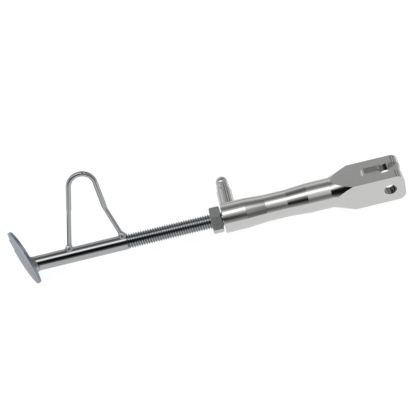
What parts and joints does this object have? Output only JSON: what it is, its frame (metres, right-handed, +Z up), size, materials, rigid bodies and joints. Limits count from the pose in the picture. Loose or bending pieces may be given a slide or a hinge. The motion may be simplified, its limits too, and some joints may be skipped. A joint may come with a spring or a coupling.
{
  "type": "motorcycle kickstand",
  "caption": "Adjustable motorcycle side stand: forked pivot end, threaded leg with jam nut, wire kick loop, spring post and tilted round foot.",
  "frame": {"origin": "centre of the pivot bore, midway between the two ears", "axes": "+X out of the open end of the clevis, the leg runs along -X; +Y along the pivot bore towards the spring post; +Z up"},
  "size_m": [0.3179, 0.0624, 0.0837],
  "materials": {
    "polished_aluminium": "polished turned body, satin milled flats",
    "plated_post": "bright plated",
    "nut_zinc": "dull zinc",
    "leg_chrome": "bright chrome, darker in the thread",
    "foot_steel": "matte brushed, faint heat tint",
    "weld_bead": "weld bead with straw heat tint",
    "loop_wire": "plated wire",
    "sleeve_tube": "bright thin tube"
  },
  "bodies": {
    "clevis": {"clevis_body": "polished_aluminium", "spring_post": "plated_post"},
    "nut": {"jam_nut": "nut_zinc"},
    "leg": {"leg_rod": "leg_chrome", "foot_plate": "foot_steel", "foot_weld": "weld_bead", "kick_loop": "loop_wire", "loop_sleeve": "sleeve_tube", "loop_weld_lower": "weld_bead", "loop_weld_upper": "weld_bead"}
  },
  "joints": [
    {"name": "leg_extension", "type": "slide", "parent": "clevis", "child": "leg", "axis": [-1, 0, 0], "range_m": [-0.05275, 0.01954]},
    {"name": "nut_turn", "type": "hinge", "parent": "clevis", "child": "nut", "pos_m": [-0.13985, 0, 0], "axis": [1, 0, 0], "continuous": true}
  ]
}
